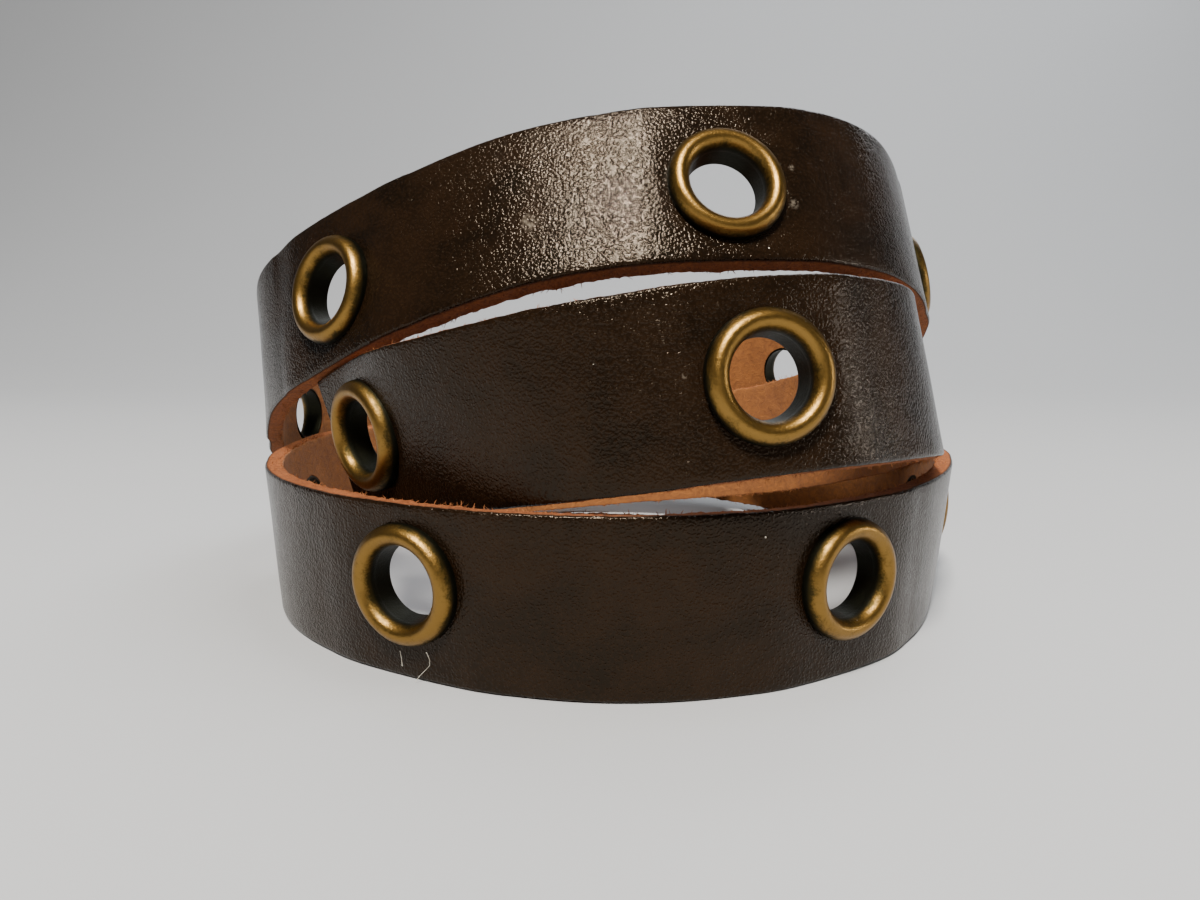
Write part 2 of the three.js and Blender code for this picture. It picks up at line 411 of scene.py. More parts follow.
# %% Punch the holes
HOLE_RADIUS, POST_HOLE_RADIUS = 3.05, 1.75
PUNCH_SIDES, PUNCH_LENGTH = 48, 4
punches = []
for seat in [*seats, end_seat]:
    if "outward" in seat:
        _, across, _ = strap_directions(np.array([seat["length"]]))
        seat["up"] = float((seat["centre"] - seat["point"]) @ across[0])
    seat["flat"] = (seat["length"] - strap_start, seat.get("up", 0.0))
    punches.append(start(
        "punch",
        bpy.ops.mesh.primitive_cylinder_add,
        vertices=PUNCH_SIDES,
        radius=(POST_HOLE_RADIUS if seat is end_seat else HOLE_RADIUS) * MM,
        depth=PUNCH_LENGTH * MM,
        location=(seat["flat"][0] * MM, seat["flat"][1] * MM, -THICKNESS / 2 * MM),
    ))
bpy.ops.object.select_all(action="DESELECT")
for punch in punches:
    punch.select_set(True)
bpy.context.view_layer.objects.active = punches[0]
bpy.ops.object.join()
punch_tool = bpy.context.object
apply_modifier(strap, "BOOLEAN", operation="DIFFERENCE", object=punch_tool, solver="EXACT")
bpy.data.objects.remove(punch_tool)
print("punched strap:", len(strap.data.polygons), "faces")

# %% [markdown]
# ## What hand and knife leave
#
# The knife leans a little, so one edge of the outer face reaches further than the inner one.
# The cut faces are torn fibre and never smooth. The leather sinks where a ring was pressed
# into it, and its free end was cut slightly off square. All of these are small moves of the
# flat strap's points.

# %% Shape the flat strap
KNIFE_LEAN = 0.16  # how far the outer face is pushed up past the inner one
DIMPLE = 0.1  # how deep the leather is pressed under a ring
DIMPLE_FLOOR, DIMPLE_EDGE = 4.3, 5.3  # even up to the first distance and gone at the second
WANDER, WANDER_LENGTH = 0.06, 19  # how much the strap's edges stray, and over what length
END_SLOPE, END_SHIFT, END_REACH = 0.07, 0.1, 3  # the free end's cut, slightly off square


def points_of(piece):
    found = np.empty(len(piece.data.vertices) * 3)
    piece.data.vertices.foreach_get("co", found)
    return found.reshape(-1, 3)


def put_points(piece, places):
    piece.data.vertices.foreach_set("co", places.ravel())
    piece.data.update()


def grain_noise(places, size, seed):
    """A smooth random value from -1 to 1 at each place. size is in millimetres."""
    shift = Vector((seed * 17.3, seed * 5.1, seed * 9.7))
    return np.array([noise.noise(Vector(p) / size + shift) for p in places])


flat = points_of(strap) / MM
depth_share = np.clip(-flat[:, 2] / THICKNESS, 0, 1)
on_cut = smoothstep((np.abs(flat[:, 1]) - (WIDTH / 2 - 0.12)) / 0.1)
torn = grain_noise(flat, 0.45, 1) * 0.13 + grain_noise(flat, 1.7, 2) * 0.08
shaped = flat.copy()
shaped[:, 1] += KNIFE_LEAN * (0.5 - depth_share)
shaped[:, 1] += np.sign(flat[:, 1]) * on_cut * torn * (0.25 + 0.75 * depth_share)
shaped[:, 1] += grain_noise(flat * (1, 0, 0), WANDER_LENGTH, 3) * WANDER
flesh_side = smoothstep((depth_share - 0.8) / 0.15)
shaped[:, 2] += grain_noise(flat, 1.3, 4) * 0.05 * flesh_side
shaped[:, 2] += grain_noise(flat * (1, 1, 0), 7, 5) * 0.05
for seat in seats:
    reach = np.hypot(flat[:, 0] - seat["flat"][0], flat[:, 1] - seat["flat"][1])
    pressed = 1 - smoothstep((reach - DIMPLE_FLOOR) / (DIMPLE_EDGE - DIMPLE_FLOOR))
    shaped[:, 2] -= DIMPLE * (1 - depth_share) * pressed
free_end = 1 - smoothstep(flat[:, 0] / END_REACH)
shaped[:, 0] -= free_end * (END_SHIFT + END_SLOPE * flat[:, 1])
print("the cut edge wanders by", (on_cut * torn).std().round(3), "mm")

# %% Keep the flat places, then wind
flat_places = strap.data.attributes.new("flat", "FLOAT_VECTOR", "POINT")
flat_places.data.foreach_set("vector", shaped.ravel())
put_points(strap, wind(shaped))
lowest = points_of(strap)[:, 2].min()
settled = points_of(strap)
settled[:, 2] = np.maximum(settled[:, 2], 0)
put_points(strap, settled)
print("wound strap", [round(n, 4) for n in strap.dimensions], "lowest point", round(lowest / MM, 2), "mm")

# %% [markdown]
# ## Fibres on the cut edge
#
# Under a lens the knife's edge is fuzzy. Short fibres stand out of it, mostly near the inner
# face, where the leather is loosest. One sliver is drawn out of a triangle by hand, and
# thousands of copies are set on the cut faces with their own size and direction. A sliver
# has only a few faces, so the whole fringe stays light.

# %% One sliver
sliver = start(
    "sliver", bpy.ops.mesh.primitive_circle_add, vertices=3, radius=0.5, fill_type="NGON"
)
edit(True)
for side, shrink in ((0.05, 0.85), (0.14, 0.75), (0.28, 0.25)):
    bpy.ops.mesh.extrude_region_move(TRANSFORM_OT_translate={"value": (side, 0, 1 / 3)})
    bpy.ops.transform.resize(value=(shrink, shrink, 1))
bpy.ops.mesh.select_all(action="SELECT")
bpy.ops.mesh.normals_make_consistent(inside=False)
edit(False)
sliver_points = points_of(sliver)
sliver_faces = [tuple(face.vertices) for face in sliver.data.polygons]
bpy.data.objects.remove(sliver)
print("a sliver has", len(sliver_faces), "faces")

# %% Thousands of slivers
FIBRE_COUNT = 6400
rng = np.random.default_rng(7)
roots = np.flatnonzero((on_cut > 0.9) & (depth_share > 0.3) & (flat[:, 0] > 0.2))
tufts = np.clip(0.55 + grain_noise(flat[roots], 2.4, 6), 0.05, 1) * (0.2 + depth_share[roots] ** 2)
roots = rng.choice(roots, FIBRE_COUNT, p=tufts / tufts.sum())
fibre_length = 0.08 + 0.42 * rng.random(FIBRE_COUNT) ** 2.4
fibre_width = 0.035 + 0.05 * rng.random(FIBRE_COUNT)
heading = np.stack([
    rng.normal(0, 0.7, FIBRE_COUNT),
    np.sign(flat[roots, 1]) * (0.35 + 0.65 * rng.random(FIBRE_COUNT)),
    rng.normal(-0.15, 0.45, FIBRE_COUNT),
], axis=1)
heading = unit(heading)
side = unit(np.cross(heading, rng.normal(0, 1, (FIBRE_COUNT, 3))))
other = np.cross(heading, side)
bases = shaped[roots] - heading * 0.03
fringe = (
    bases[:, None, :]
    + side[:, None, :] * (sliver_points[None, :, 0:1] * fibre_width[:, None, None])
    + other[:, None, :] * (sliver_points[None, :, 1:2] * fibre_width[:, None, None])
    + heading[:, None, :] * (sliver_points[None, :, 2:3] * fibre_length[:, None, None])
).reshape(-1, 3)
fringe_faces = [
    tuple(i + copy * len(sliver_points) for i in face)
    for copy in range(FIBRE_COUNT)
    for face in sliver_faces
]
fringe_mesh = bpy.data.meshes.new("cut_edge_fibres")
wound_fringe = wind(fringe)
wound_fringe[:, 2] = np.maximum(wound_fringe[:, 2], 0.00001)
fringe_mesh.from_pydata(wound_fringe.tolist(), [], fringe_faces)
cut_edge_fibres = bpy.data.objects.new("cut_edge_fibres", fringe_mesh)
bpy.context.scene.collection.objects.link(cut_edge_fibres)
fringe_flat = fringe_mesh.attributes.new("flat", "FLOAT_VECTOR", "POINT")
fringe_flat.data.foreach_set("vector", fringe.ravel())
print("fringe:", len(fringe_mesh.polygons), "faces")

# %% [markdown]
# ## A rolled brass eyelet
#
# A real eyelet is pressed from one disc of brass: a domed ring on the outer face, and a
# barrel that goes down through the hole. Any shape with one axis can be drawn as half a
# section and spun. The section starts as a round, is cut flat where it meets the leather,
# and has its barrel pulled down out of its inner corner.

# %% The eyelet's section
CREST_RADIUS, DOME_HALF, DOME_HEIGHT = 3.62, 0.79, 1.05
FOOT = -0.28  # the dome's foot is pressed into the leather
BARREL_WALL, BARREL_TAPER = 0.27, 0.2
BARREL_PAST, LIP_RADIUS = 0.05, 0.09  # the barrel stands this far past the leather, with a round lip
SECTION_SIDES = 40

eyelet = start(
    "eyelet",
    bpy.ops.mesh.primitive_circle_add,
    vertices=SECTION_SIDES,
    radius=1 * MM,
    fill_type="NGON",
    rotation=(math.pi / 2, 0, 0),
)
place_applied(eyelet)
edit(True)
bpy.ops.transform.resize(value=(DOME_HALF, 1, DOME_HEIGHT))
bpy.ops.transform.translate(value=(CREST_RADIUS * MM, 0, 0))
bpy.ops.mesh.select_all(action="SELECT")
bpy.ops.mesh.bisect(
    plane_co=(0, 0, FOOT * MM), plane_no=(0, 0, -1), clear_outer=True, use_fill=False
)
barrel_outer = (CREST_RADIUS - DOME_HALF + BARREL_WALL) * MM
bpy.ops.mesh.select_all(action="SELECT")
bpy.ops.mesh.bisect(plane_co=(barrel_outer, 0, 0), plane_no=(1, 0, 0))
pick(eyelet, "EDGE", lambda e: all(
    v.co.z < (FOOT + 0.001) * MM and v.co.x < barrel_outer + 0.001 * MM for v in e.verts
))
bpy.ops.mesh.extrude_region_move(
    TRANSFORM_OT_translate={"value": (-BARREL_TAPER * MM, 0, (-THICKNESS - FOOT - BARREL_PAST) * MM)}
)
pick(eyelet, "VERT", lambda v: v.co.z < (FOOT - 0.1) * MM)
bpy.ops.mesh.bevel(affect="VERTICES", offset=LIP_RADIUS * MM, segments=3)
bpy.ops.mesh.select_all(action="SELECT")
bpy.ops.mesh.dissolve_faces()
bpy.ops.mesh.delete(type="ONLY_FACE")
print("section corners:", len(bmesh.from_edit_mesh(eyelet.data).verts))

# %% Spin the section
RING_STEPS = 96
bpy.ops.mesh.select_all(action="SELECT")
bpy.ops.mesh.spin(steps=RING_STEPS, angle=2 * math.pi, center=(0, 0, 0), axis=(0, 0, 1))
bpy.ops.mesh.select_all(action="SELECT")
bpy.ops.mesh.remove_doubles(threshold=0.002 * MM)
bpy.ops.mesh.normals_make_consistent(inside=False)
edit(False)
print("one eyelet has", len(eyelet.data.polygons), "faces")

# %% Where fingers rub the brass, and where its shade is painted
def mark_rubbed_and_shaded(piece, places, low, high):
    """Stores a value from none at the low height to all at the high: high points are rubbed bright, and low
    points get painted shade.
    """
    rubbed_and_shaded = piece.data.attributes.new("rubbed_and_shaded", "FLOAT", "POINT")
    rubbed_and_shaded.data.foreach_set("value", smoothstep((places[:, 2] / MM - low) / (high - low)))


# Low on the dome and down the barrel the value is small, and the brass finish paints shade there.
mark_rubbed_and_shaded(eyelet, points_of(eyelet), 0.05, 1.05)

# %% Set an eyelet on every seat
def seat_matrix(seat):
    """Turns a piece so that its Z points out of the leather, and moves it to its seat."""
    outward = Vector(seat["outward"]).normalized()
    along = Vector(seat["along"])
    along = (along - outward * along.dot(outward)).normalized()
    turned = Matrix((along, outward.cross(along), outward)).transposed().to_4x4()
    return Matrix.Translation(Vector(seat["centre"]) * MM) @ turned


brass_rings = []
for seat in seats:
    ring = eyelet.copy()
    ring.data = eyelet.data.copy()
    ring.name = ring.data.name = seat["name"].replace("eyelet", "brass_ring")
    bpy.context.scene.collection.objects.link(ring)
    ring.data.transform(seat_matrix(seat))
    brass_rings.append(ring)
bpy.data.objects.remove(eyelet)
print(len(brass_rings), "rings set")

# %% [markdown]
# ## The closing post
#
# The outer end of the strap is buttoned to the turn under it. The button is a plain post with
# a low head on both ends. A cylinder is made as long as the gap, and its two end faces are
# widened and pulled out into heads, whose rims are then rounded.

# %% The post
post_axis = np.array(post_seat["outward"])
post_reach = (node_points("closing_post") - post_seat["centre"]) @ post_axis
HEAD_HEIGHT, HEAD_RADIUS, SHAFT_RADIUS = 1.1, 3.6, 1.6
POST_SIDES, RIM_BEVEL = 64, 0.16
BORDER, STEP_WIDTH, STEP_DEPTH = 0.75, 0.25, 0.14  # the low step pressed into each head
shaft_low, shaft_high = post_reach.min() + HEAD_HEIGHT, post_reach.max() - HEAD_HEIGHT
post = start(
    "button_post",
    bpy.ops.mesh.primitive_cylinder_add,
    vertices=POST_SIDES,
    radius=SHAFT_RADIUS * MM,
    depth=(shaft_high - shaft_low) * MM,
    location=(0, 0, (shaft_high + shaft_low) / 2 * MM),
)
place_applied(post)
edit(True)
wide = HEAD_RADIUS / SHAFT_RADIUS
for way, neck in ((1, shaft_high), (-1, shaft_low)):
    pick(post, "FACE", lambda f: abs(f.calc_center_median().z - neck * MM) < 0.01 * MM)
    bpy.ops.mesh.extrude_region_move(TRANSFORM_OT_translate={"value": (0, 0, 0)})
    bpy.ops.transform.resize(value=(wide, wide, 1))
    bpy.ops.mesh.extrude_region_move(
        TRANSFORM_OT_translate={"value": (0, 0, way * HEAD_HEIGHT * MM)}
    )
pick(post, "EDGE", lambda e: all(
    v.co.xy.length > (HEAD_RADIUS - 0.01) * MM for v in e.verts
) and abs(e.verts[0].co.z - e.verts[1].co.z) < 1e-6)
bpy.ops.mesh.bevel(offset=RIM_BEVEL * MM, segments=3)
for way, end in ((1, post_reach.max()), (-1, post_reach.min())):
    pick(post, "FACE", lambda f: abs(f.calc_center_median().z - end * MM) < 0.01 * MM)
    bpy.ops.mesh.inset(thickness=BORDER * MM)
    bpy.ops.mesh.inset(thickness=STEP_WIDTH * MM, depth=-STEP_DEPTH * MM)
bpy.ops.mesh.select_all(action="SELECT")
bpy.ops.mesh.normals_make_consistent(inside=False)
edit(False)
shaft_middle = (shaft_high + shaft_low) / 2
from_middle = abs(points_of(post) - (0, 0, shaft_middle * MM))
# On the post the heads' faces are rubbed bright, and the shaft between them gets painted shade.
mark_rubbed_and_shaded(post, from_middle, 0, shaft_high + HEAD_HEIGHT - shaft_middle)
post.data.transform(seat_matrix(post_seat))
print("post", round(shaft_high - shaft_low, 2), "mm between its heads")

# %% [markdown]
# ## Stray hairs
#
# Two pale hairs have caught under one of the low rings. Each is a thin thread drawn along a
# few points in flat coordinates and wound with the leather, so it stays on the surface.

# %% The hairs
HAIR_RADIUS = 0.022
HAIR_PATHS = {
    # along, across, over the leather
    "stray_hair_bent": [
        (208.7, -3.8, 0.5),
        (208.8, -4.4, 0.3),
        (208.7, -4.9, 0.22),
        (208.2, -5.4, 0.2),
        (207.8, -5.8, 0.28),
        (207.6, -6.2, 0.5),
    ],
    "stray_hair_short": [
        (206.2, -4.2, 0.35),
        (206.15, -4.8, 0.2),
        (206.2, -5.4, 0.22),
    ],
}


def draw_hair(name, path):
    """A thread through the points of the path, wound with the leather."""
    drawn = start(
        name, bpy.ops.mesh.primitive_circle_add, vertices=5, radius=HAIR_RADIUS, fill_type="NGON"
    )
    edit(True)
    bpy.ops.transform.rotate(value=math.pi / 2, orient_axis="X", center_override=(0, 0, 0))
    bpy.ops.transform.translate(value=path[0])
    for before, after in zip(path, path[1:]):
        step = np.subtract(after, before)
        bpy.ops.mesh.extrude_region_move(TRANSFORM_OT_translate={"value": tuple(step)})
    bpy.ops.mesh.select_all(action="SELECT")
    bpy.ops.mesh.normals_make_consistent(inside=False)
    edit(False)
    put_points(drawn, wind(points_of(drawn)))
    return drawn


hairs = [draw_hair(name, path) for name, path in HAIR_PATHS.items()]
print(len(hairs), "hairs")

# %% [markdown]
# ## Node helpers
#
# Every finish here is a node tree. Four small helpers keep the trees readable: one adds a
# node, one does arithmetic, one stretches a range of values and one mixes two colours.

# %% Small node helpers
def add(tree, kind, props=None, **inputs):
    """Adds a node. An input given as a socket is linked, and any other value is set."""
    made = tree.nodes.new("ShaderNode" + kind)
    for key, value in (props or {}).items():
        setattr(made, key, value)
    for key, value in inputs.items():
        socket = made.inputs[key.replace("_", " ")]
        connect(tree, socket, value)
    return made


def connect(tree, socket, value):
    if isinstance(value, bpy.types.NodeSocket):
        tree.links.new(value, socket)
    else:
        socket.default_value = value


def maths(tree, operation, *values):
    made = tree.nodes.new("ShaderNodeMath")
    made.operation = operation
    for socket, value in zip(made.inputs, values):
        connect(tree, socket, value)
    return made.outputs[0]


def stretch(tree, value, low, high, to_low=0.0, to_high=1.0):
    """Maps low..high of a value to to_low..to_high, softly at both ends."""
    made = add(tree, "MapRange", {"interpolation_type": "SMOOTHSTEP"}, Value=value)
    for name, number in (("From Min", low), ("From Max", high), ("To Min", to_low), ("To Max", to_high)):
        connect(tree, made.inputs[name], number)
    return made.outputs[0]


def mix_colour(tree, share, first, second):
    made = add(tree, "Mix", {"data_type": "RGBA"})
    for socket, value in zip((made.inputs[0], made.inputs[6], made.inputs[7]), (share, first, second)):
        connect(tree, socket, value)
    return made.outputs[2]


def scaled(tree, vector, by):
    made = add(tree, "VectorMath", {"operation": "MULTIPLY"})
    connect(tree, made.inputs[0], vector)
    connect(tree, made.inputs[1], by)
    return made.outputs[0]


# %% [markdown]
# ## Shared effects
#
# Some effects turn up in more than one finish: soft blotches, specks of dust, and torn fibre.
# Each is a node group, built once, with its own values in every material that uses it. All of
# them take places in millimetres.

# %% A maker of node groups
def make_group(name, inputs, outputs):
    tree = bpy.data.node_groups.new(name, "ShaderNodeTree")
    for label, kind, value in inputs:
        socket = tree.interface.new_socket(label, in_out="INPUT", socket_type=kind)
        if value is not None:
            socket.default_value = value
    for label, kind in outputs:
        tree.interface.new_socket(label, in_out="OUTPUT", socket_type=kind)
    return tree, tree.nodes.new("NodeGroupInput").outputs, tree.nodes.new("NodeGroupOutput").inputs


def use_group(tree, group, **inputs):
    made = tree.nodes.new("ShaderNodeGroup")
    made.node_tree = group
    for key, value in inputs.items():
        connect(tree, made.inputs[key], value)
    return made.outputs


VECTOR, FLOAT = "NodeSocketVector", "NodeSocketFloat"

# %% Blotches, dust and torn fibre
blotches, given, result = make_group(
    "blotches",
    [("Place", VECTOR, None), ("Size", FLOAT, 3.0), ("Hardness", FLOAT, 0.5)],
    [("Mask", FLOAT)],
)
cloud = add(
    blotches,
    "TexNoise",
    Vector=given["Place"],
    Scale=maths(blotches, "DIVIDE", 1.0, given["Size"]),
    Detail=4.0,
    Roughness=0.6,
    Distortion=0.4,
)
reach = maths(blotches, "MULTIPLY_ADD", given["Hardness"], -0.22, 0.25)
connect(blotches, result["Mask"], stretch(
    blotches,
    cloud.outputs["Fac"],
    maths(blotches, "SUBTRACT", 0.5, reach),
    maths(blotches, "ADD", 0.5, reach),
))

dust, given, result = make_group(
    "dust",
    [("Place", VECTOR, None), ("Spacing", FLOAT, 2.0), ("Size", FLOAT, 0.06)],
    [("Mask", FLOAT)],
)
cells = add(
    dust,
    "TexVoronoi",
    Vector=given["Place"],
    Scale=maths(dust, "DIVIDE", 1.0, given["Spacing"]),
    Randomness=1.0,
)
speck_reach = maths(dust, "DIVIDE", given["Size"], given["Spacing"])
lucky = add(dust, "SeparateColor", Color=cells.outputs["Color"])
grown = maths(dust, "MULTIPLY", speck_reach, lucky.outputs["Green"])
inside = maths(dust, "LESS_THAN", cells.outputs["Distance"], grown)
chosen = maths(dust, "GREATER_THAN", lucky.outputs["Red"], 0.45)
connect(dust, result["Mask"], maths(dust, "MULTIPLY", inside, chosen))

torn_fibre, given, result = make_group(
    "torn_fibre",
    [("Place", VECTOR, None), ("Size", FLOAT, 0.5)],
    [("Height", FLOAT), ("Shade", FLOAT)],
)
fibre_scale = maths(torn_fibre, "DIVIDE", 1.0, given["Size"])
strands = add(
    torn_fibre,
    "TexNoise",
    Vector=given["Place"],
    Scale=fibre_scale,
    Detail=7.0,
    Roughness=0.68,
    Distortion=1.6,
)
ridged = maths(torn_fibre, "ABSOLUTE", maths(torn_fibre, "SUBTRACT", strands.outputs["Fac"], 0.5))
connect(torn_fibre, result["Height"], maths(torn_fibre, "MULTIPLY_ADD", ridged, -2.0, 1.0))
connect(torn_fibre, result["Shade"], stretch(torn_fibre, strands.outputs["Fac"], 0.3, 0.7))
print("shared groups:", [g.name for g in bpy.data.node_groups])

# %% [markdown]
# ## The outer face of the leather
#
# This is a dark brown, polished leather with a fine pebble: little domes a fifth of a
# millimetre wide, which break a reflection into sparks. Crosswise creases show where it
# bends. The pattern follows the flat strap and not the room, so it runs round the coil
# without a seam.

# %% Pebble and creases
pebbled, given, result = make_group(
    "pebbled",
    [("Place", VECTOR, None), ("Pebble", FLOAT, 0.28)],
    [("Height", FLOAT), ("Crown", FLOAT)],
)
pebble_scale = maths(pebbled, "DIVIDE", 1.0, given["Pebble"])
wobble = add(pebbled, "TexNoise", Vector=given["Place"], Scale=2.2, Detail=2.0)
nudge = scaled(pebbled, wobble.outputs["Color"], (0.35, 0.35, 0.35))
bent = add(pebbled, "VectorMath", {"operation": "ADD"})
connect(pebbled, bent.inputs[0], given["Place"])
connect(pebbled, bent.inputs[1], nudge)
domes = add(
    pebbled,
    "TexVoronoi",
    {"feature": "SMOOTH_F1"},
    Vector=bent.outputs[0],
    Scale=pebble_scale,
    Smoothness=0.35,
)
crown = stretch(pebbled, domes.outputs["Distance"], 0.75, 0.1)
fine = add(pebbled, "TexNoise", Vector=given["Place"], Scale=8.5, Detail=3.0, Roughness=0.6)
crease_place = scaled(pebbled, given["Place"], (1.7, 0.28, 1.0))
creases = add(pebbled, "TexNoise", Vector=crease_place, Scale=1.0, Detail=3.0, Distortion=0.6)
crease_ridge = maths(pebbled, "ABSOLUTE", maths(pebbled, "SUBTRACT", creases.outputs["Fac"], 0.5))
broad = add(pebbled, "TexNoise", Vector=given["Place"], Scale=0.32, Detail=2.0)
height = maths(pebbled, "MULTIPLY", crown, 0.026)
height = maths(pebbled, "MULTIPLY_ADD", fine.outputs["Fac"], 0.020, height)
height = maths(pebbled, "MULTIPLY_ADD", crease_ridge, 0.035, height)
height = maths(pebbled, "MULTIPLY_ADD", broad.outputs["Fac"], 0.10, height)
connect(pebbled, result["Height"], height)
connect(pebbled, result["Crown"], crown)

# %% The outer face
def new_material(name):
    made = bpy.data.materials.new(name)
    made.use_nodes = True
    made.node_tree.nodes.clear()
    tree = made.node_tree
    surface = add(tree, "BsdfPrincipled")
    end = add(tree, "OutputMaterial")
    tree.links.new(surface.outputs[0], end.inputs[0])
    return made, tree, surface.inputs


SCUFFS = [
    # along, across, reach
    (427.1, -1.5, 0.9),
    (447.0, 1.2, 0.35),
    (446.6, -1.8, 0.5),
    (33.0, 0.7, 0.25),
]
outer_face, tree, surface = new_material("leather_outer_face")
flat_place = add(tree, "Attribute", {"attribute_name": "flat"}).outputs["Vector"]
pebble = use_group(tree, pebbled, Place=flat_place, Pebble=0.22)
clouds = use_group(tree, blotches, Place=flat_place, Size=6.0, Hardness=0.25)
specks = use_group(tree, dust, Place=flat_place, Spacing=2.4, Size=0.085)
colour = mix_colour(tree, clouds["Mask"], (0.0042, 0.0024, 0.0012, 1), (0.0105, 0.0050, 0.0021, 1))
colour = mix_colour(tree, maths(tree, "MULTIPLY", pebble["Crown"], 0.3), colour, (0.020, 0.0095, 0.0038, 1))
scuffed = 0.0
for along, across, reach in SCUFFS:
    gap = add(tree, "VectorMath", {"operation": "DISTANCE"})
    connect(tree, gap.inputs[0], flat_place)
    connect(tree, gap.inputs[1], (along, across, 0))
    scuffed = maths(tree, "MAXIMUM", stretch(tree, gap.outputs["Value"], reach, reach * 0.2), scuffed)
rough_patch = use_group(tree, blotches, Place=flat_place, Size=0.35, Hardness=0.7)
scuffed = maths(tree, "MULTIPLY", scuffed, rough_patch["Mask"])
colour = mix_colour(tree, maths(tree, "MULTIPLY", scuffed, 0.3), colour, (0.30, 0.25, 0.19, 1))
colour = mix_colour(tree, specks["Mask"], colour, (0.55, 0.50, 0.42, 1))
connect(tree, surface["Base Color"], colour)
roughness = maths(tree, "MULTIPLY_ADD", clouds["Mask"], 0.07, 0.15)
roughness = maths(tree, "MULTIPLY_ADD", scuffed, 0.2, roughness)
connect(tree, surface["Roughness"], maths(tree, "MULTIPLY_ADD", specks["Mask"], 0.5, roughness))
surface["Specular IOR Level"].default_value = 0.23
surface["Specular Tint"].default_value = (1.0, 0.82, 0.64, 1)
bump = add(tree, "Bump", Height=pebble["Height"], Distance=1 * MM, Strength=1.0)
connect(tree, surface["Normal"], bump.outputs[0])
print("outer face nodes:", len(tree.nodes))

# %% [markdown]
# ## The inner face and the cut
#
# Inside, the leather is plain orange-brown suede. The cut shows the same fibre end on, torn
# and brighter, with the dark skin of the outer face as a thin line along one side. Both are
# made from the torn-fibre group with different sizes and colours.

# %% Inner face
inner_face, tree, surface = new_material("leather_inner_face")
flat_place = add(tree, "Attribute", {"attribute_name": "flat"}).outputs["Vector"]
nap = use_group(tree, torn_fibre, Place=scaled(tree, flat_place, (0.8, 1.1, 1.0)), Size=0.9)
clouds = use_group(tree, blotches, Place=flat_place, Size=4.0, Hardness=0.1)
colour = mix_colour(tree, nap["Shade"], (0.17, 0.060, 0.016, 1), (0.31, 0.118, 0.030, 1))
colour = mix_colour(tree, maths(tree, "MULTIPLY", clouds["Mask"], 0.45), colour, (0.15, 0.055, 0.022, 1))
connect(tree, surface["Base Color"], colour)
connect(tree, surface["Roughness"], stretch(tree, nap["Shade"], 0, 1, 0.82, 0.97))
surface["Sheen Weight"].default_value = 0.05
surface["Specular IOR Level"].default_value = 0.25
bump = add(tree, "Bump", Height=nap["Height"], Distance=0.12 * MM, Strength=0.8)
connect(tree, surface["Normal"], bump.outputs[0])

# %% Cut edge and fibres
def cut_finish(name, dark, bright, skin):
    made, tree, surface = new_material(name)
    flat_place = add(tree, "Attribute", {"attribute_name": "flat"}).outputs["Vector"]
    fibre = use_group(tree, torn_fibre, Place=flat_place, Size=0.42)
    clouds = use_group(tree, blotches, Place=flat_place, Size=2.6, Hardness=0.3)
    colour = mix_colour(tree, fibre["Shade"], dark, bright)
    colour = mix_colour(tree, maths(tree, "MULTIPLY", clouds["Mask"], 0.3), colour, dark)
    if skin:
        depth = add(tree, "SeparateXYZ", Vector=flat_place).outputs["Z"]
        near_top = stretch(tree, depth, -0.34, -0.12)
        colour = mix_colour(tree, near_top, colour, (0.045, 0.020, 0.010, 1))
    connect(tree, surface["Base Color"], colour)
    connect(tree, surface["Roughness"], stretch(tree, fibre["Shade"], 0, 1, 0.8, 0.98))
    surface["Specular IOR Level"].default_value = 0.2
    bump = add(tree, "Bump", Height=fibre["Height"], Distance=0.16 * MM, Strength=1.0)
    connect(tree, surface["Normal"], bump.outputs[0])
    return made


cut_edge = cut_finish("leather_cut_edge", (0.15, 0.045, 0.016, 1), (0.40, 0.135, 0.045, 1), True)
loose_fibre = cut_finish("leather_loose_fibre", (0.26, 0.085, 0.030, 1), (0.52, 0.21, 0.08, 1), False)
print("leather finishes:", outer_face.name, inner_face.name, cut_edge.name, loose_fibre.name)

# %% [markdown]
# ## Aged brass
#
# Antique brass is brass that was blackened on purpose and rubbed back. It is bright where
# fingers reach, and brown and slightly green in between. Down in the barrel, round the dome's foot
# and along the post's shaft it is painted nearly black, darker than the blackening itself: painted
# shade. The value stored in the mesh says which is which, and blotches break up the border.

# %% The tarnish group
tarnish, given, result = make_group(
    "tarnish",
    [("Place", VECTOR, None), ("Rubbed", FLOAT, 0.5)],
    [("Color", "NodeSocketColor"), ("Roughness", FLOAT), ("Height", FLOAT)],
)
soft = use_group(tarnish, blotches, Place=given["Place"], Size=1.1, Hardness=0.2)["Mask"]
grainy = use_group(tarnish, blotches, Place=given["Place"], Size=0.16, Hardness=0.35)["Mask"]
shine = maths(tarnish, "MULTIPLY_ADD", given["Rubbed"], 1.1, -0.45)
shine = maths(tarnish, "MULTIPLY_ADD", soft, 0.5, shine)
shine = maths(tarnish, "MULTIPLY_ADD", grainy, 0.28, shine)
bright = stretch(tarnish, shine, 0.15, 1.05)
colour = mix_colour(tarnish, soft, (0.040, 0.031, 0.011, 1), (0.070, 0.043, 0.012, 1))
colour = mix_colour(tarnish, bright, colour, (0.245, 0.140, 0.036, 1))
# Painted shade: where the stored value is low (down the barrel, round the dome's foot and along the post's
# shaft) the colour goes nearly black, darker than the tarnish.
painted_recess_shade = stretch(tarnish, given["Rubbed"], 0.30, 0.0)
colour = mix_colour(tarnish, painted_recess_shade, colour, (0.016, 0.016, 0.010, 1))
connect(tarnish, result["Color"], colour)
matt = maths(tarnish, "MULTIPLY_ADD", bright, -0.16, 0.47)
connect(tarnish, result["Roughness"], maths(tarnish, "MULTIPLY_ADD", grainy, 0.06, matt))
connect(tarnish, result["Height"], grainy)


